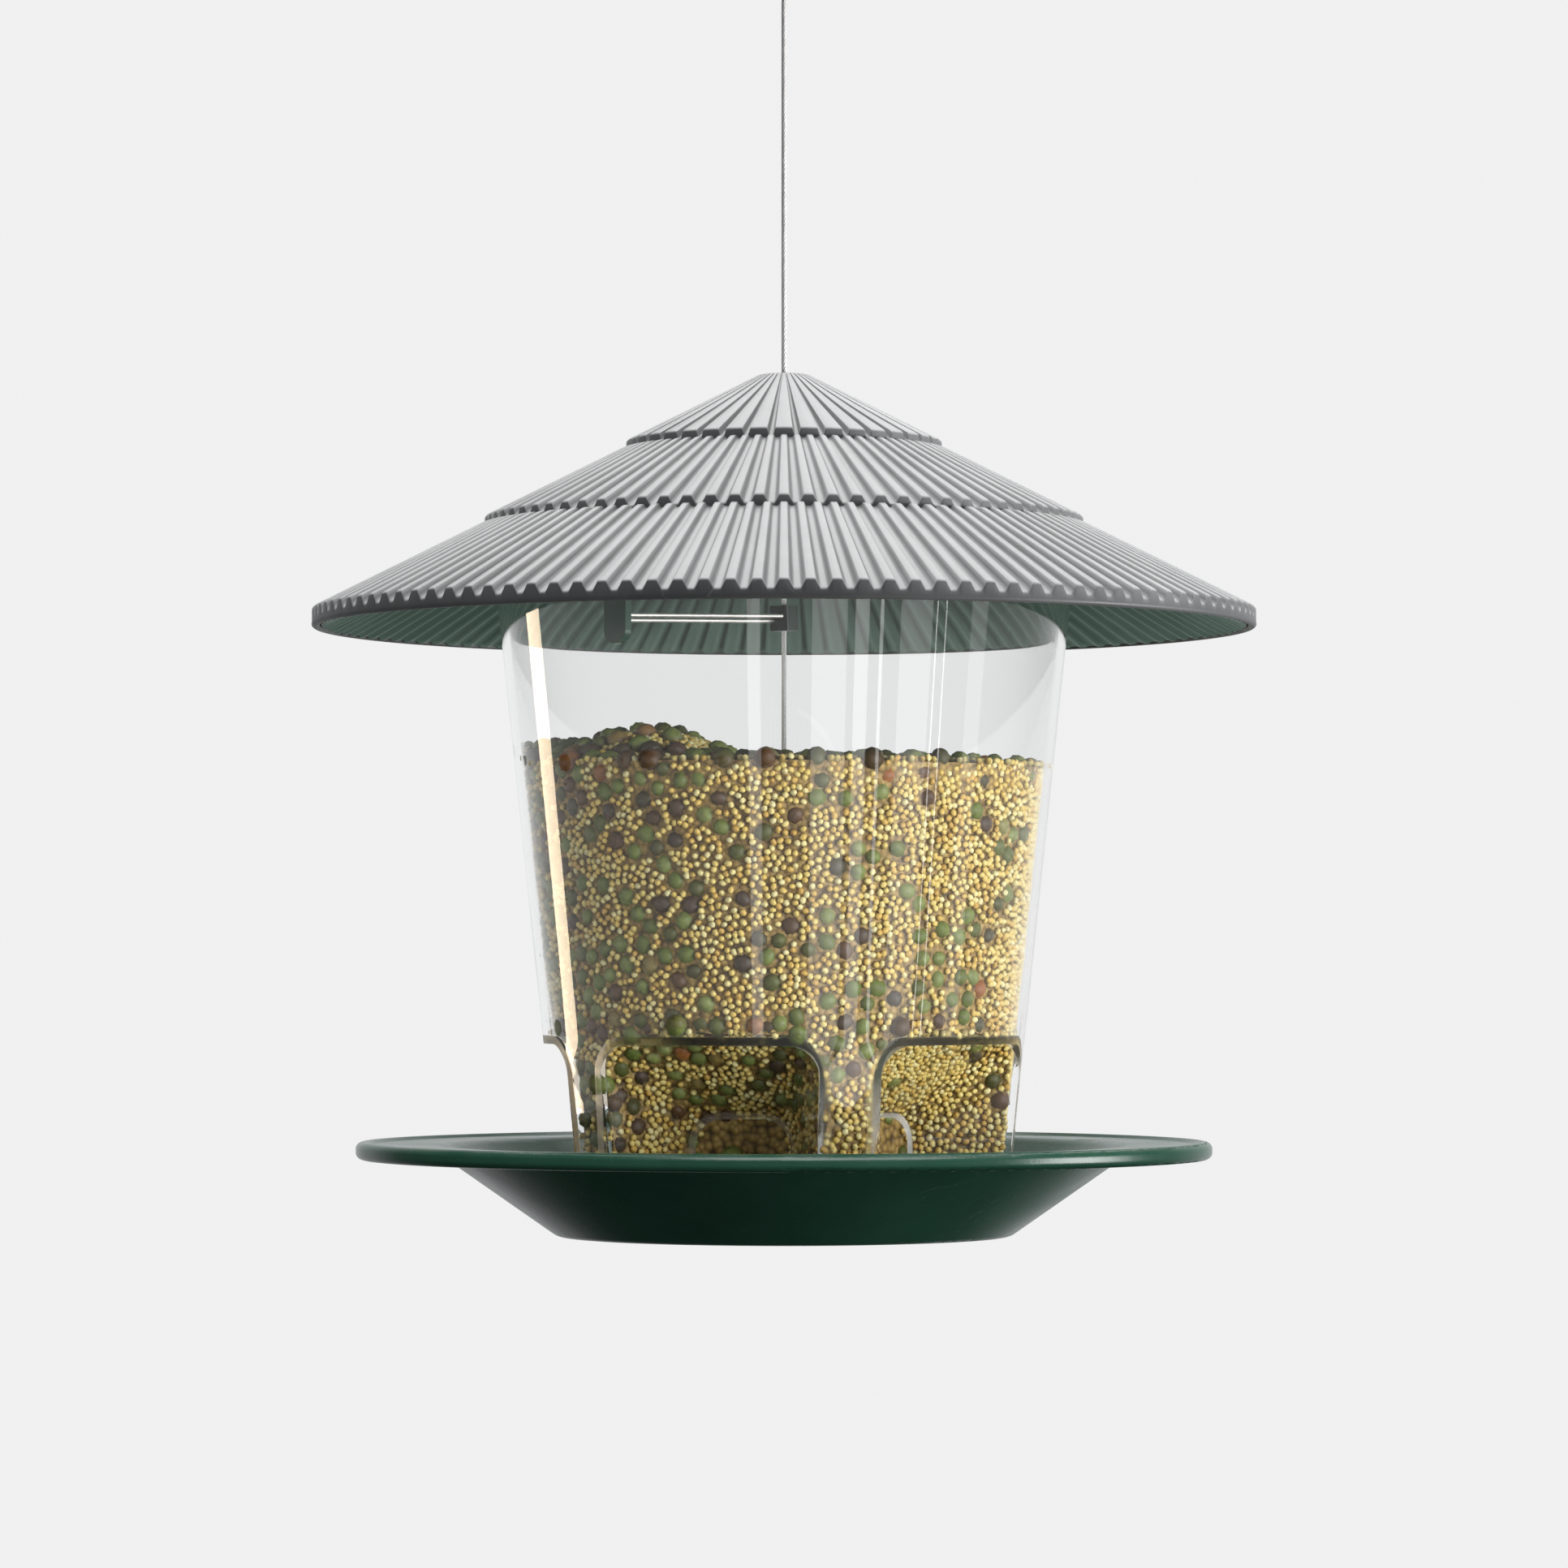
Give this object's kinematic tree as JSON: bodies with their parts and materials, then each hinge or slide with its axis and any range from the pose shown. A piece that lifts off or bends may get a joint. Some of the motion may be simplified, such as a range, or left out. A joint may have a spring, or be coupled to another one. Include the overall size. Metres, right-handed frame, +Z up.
{
  "type": "hanging bird feeder",
  "caption": "Hanging bird feeder: ribbed conical roof that slides up a steel cable, clear tapered seed reservoir with scooped feeding ports and a dished tray.",
  "frame": {"origin": "centre of the hanging eye at the top of the cable", "axes": "+Z up along the cable, +Y along the eye's bore and away from the front, +X to the right seen from the front"},
  "size_m": [0.27, 0.27, 0.4024],
  "materials": {
    "green_plastic": "satin moulded",
    "clear_plastic": "clear polished",
    "seed": "loose mixed seed",
    "grey_plastic": "satin ribbed",
    "liner_plastic": "satin moulded",
    "bush_plastic": "matt",
    "spring_wire": "bright drawn wire",
    "cable_steel": "twisted strands",
    "ferrule_metal": "crimped",
    "thimble_steel": "zinc plated"
  },
  "bodies": {
    "hung_feeder": {"tray": "green_plastic", "reservoir": "clear_plastic", "seed_fill": "seed", "seed_spills": "seed", "cable": "cable_steel", "top_ferrule": "ferrule_metal", "eye_thimble": "thimble_steel", "anchor_washer": "thimble_steel", "anchor_stop": "ferrule_metal"},
    "cable_bush": {"roof_bush": "bush_plastic"},
    "roof": {"roof_shell": "grey_plastic", "roof_liner": "liner_plastic", "lock_tongue": "liner_plastic", "lock_spring": "spring_wire", "cable_grip": "liner_plastic"}
  },
  "joints": [
    {"name": "roof_lift", "type": "slide", "parent": "hung_feeder", "child": "cable_bush", "axis": [0, 0, 1], "range_m": [0, 0.105]},
    {"name": "roof_turn", "type": "hinge", "parent": "cable_bush", "child": "roof", "pos_m": [0, 0, -0.1507], "axis": [0, 0, 1], "continuous": true}
  ]
}
